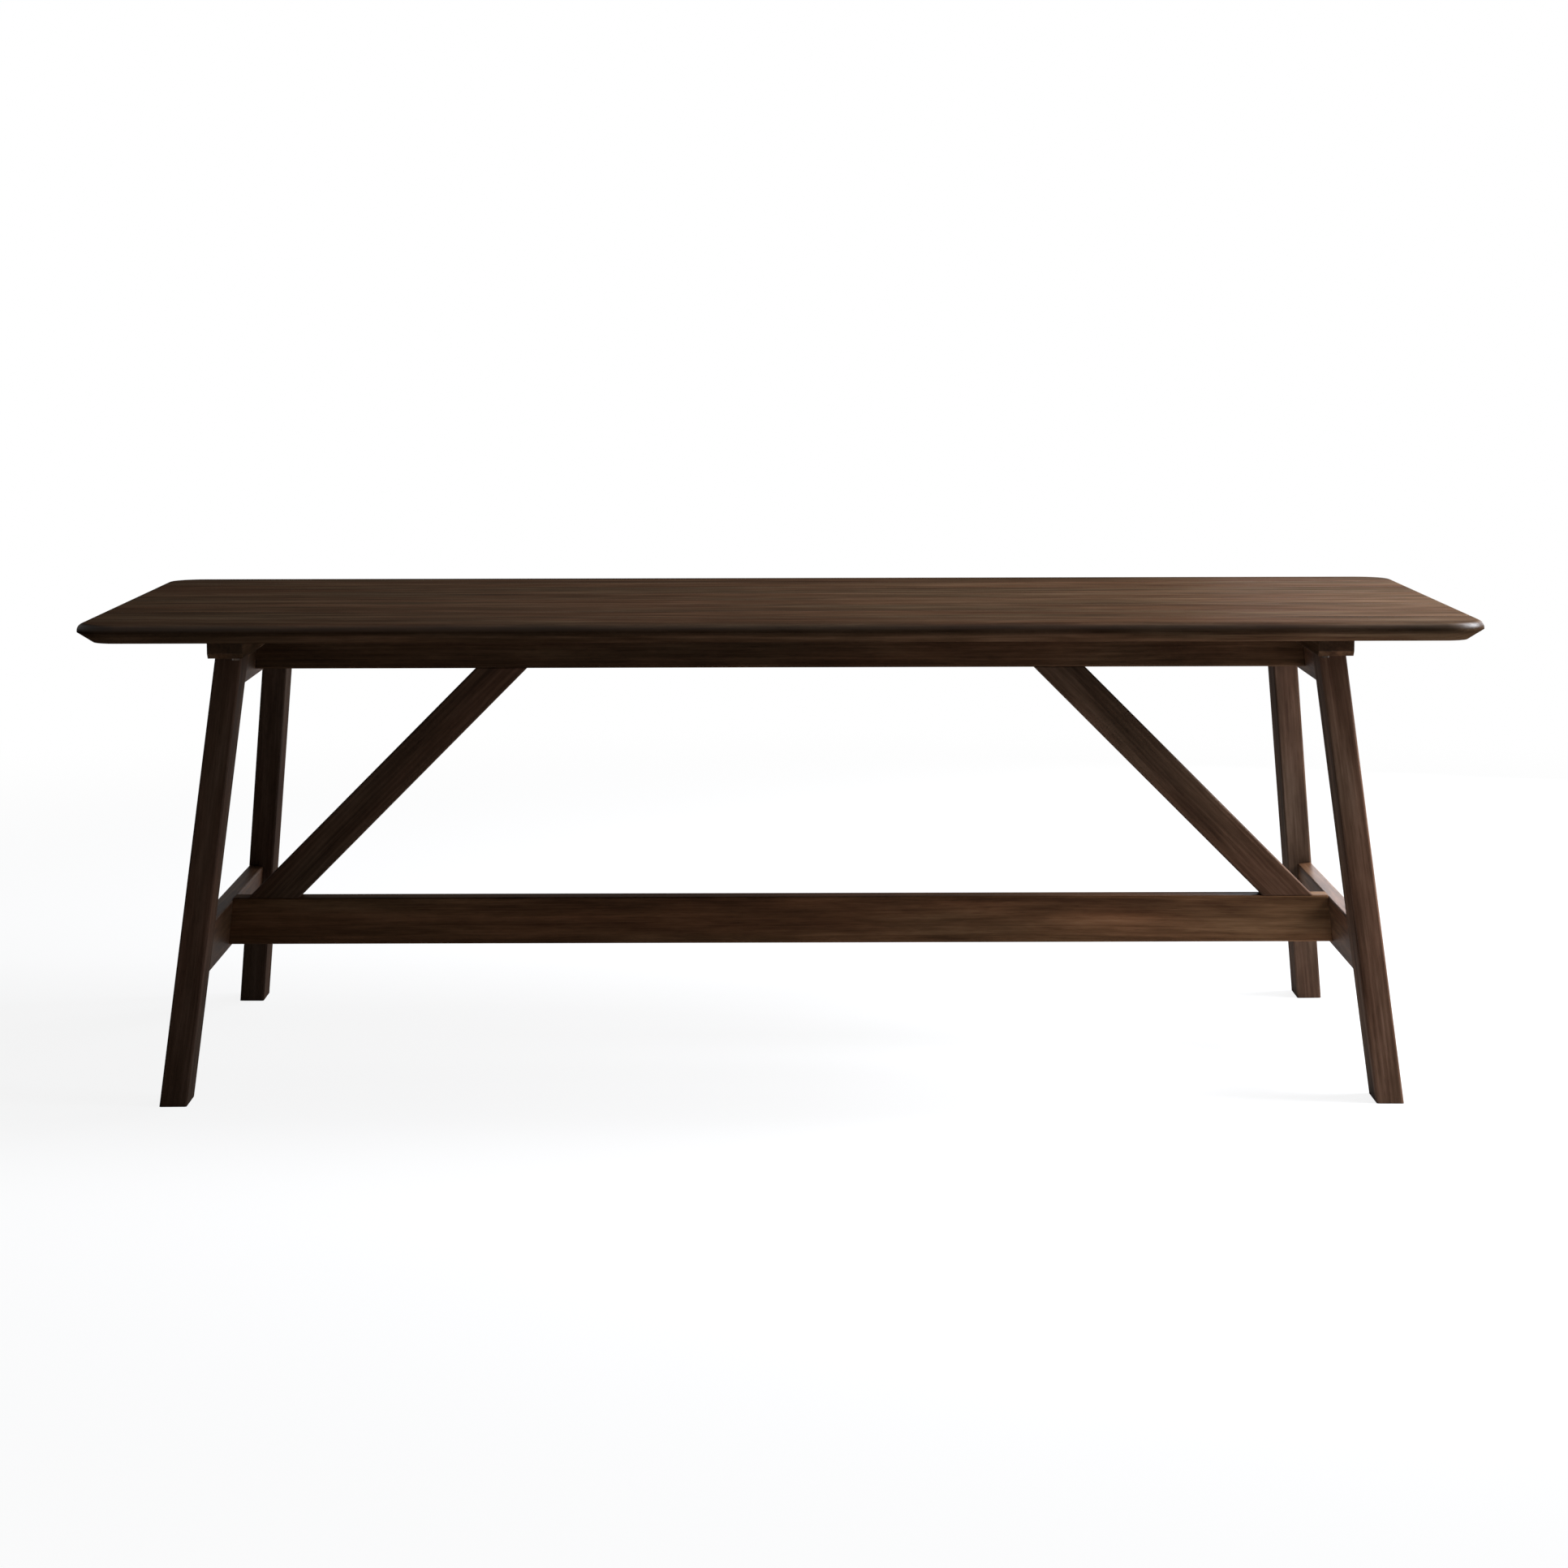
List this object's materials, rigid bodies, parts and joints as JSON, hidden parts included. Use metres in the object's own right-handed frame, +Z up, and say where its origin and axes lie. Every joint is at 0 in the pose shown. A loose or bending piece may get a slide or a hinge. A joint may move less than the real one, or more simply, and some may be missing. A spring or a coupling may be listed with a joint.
{
  "type": "dining table",
  "caption": "Rectangular dining table: solid wood top with an undercut rim on leaning, splayed end frames, tied by a beam, a stretcher and slanted braces.",
  "frame": {"origin": "on the floor under the middle of the top", "axes": "+X along the length of the top, +Y to the rear, +Z up"},
  "size_m": [2.175, 1, 0.75],
  "materials": {
    "top_wood": "satin lacquer",
    "frame_wood": "satin lacquer",
    "bronzed_steel": "bronzed",
    "zinc_steel": "zinc plated"
  },
  "bodies": {
    "root": {"top_board_1": "top_wood", "top_board_2": "top_wood", "top_board_3": "top_wood", "top_board_4": "top_wood", "top_board_5": "top_wood", "top_board_6": "top_wood", "top_board_7": "top_wood", "top_board_8": "top_wood", "leg_front_left": "frame_wood", "leg_front_right": "frame_wood", "leg_rear_left": "frame_wood", "leg_rear_right": "frame_wood", "upper_rail_left": "frame_wood", "upper_rail_right": "frame_wood", "lower_rail_left": "frame_wood", "lower_rail_right": "frame_wood", "beam": "frame_wood", "stretcher": "frame_wood", "brace_left": "frame_wood", "brace_right": "frame_wood", "cleat_left": "frame_wood", "cleat_right": "frame_wood", "frame_bolts": "bronzed_steel", "barrel_nuts": "zinc_steel", "top_screws": "bronzed_steel"}
  },
  "joints": []
}
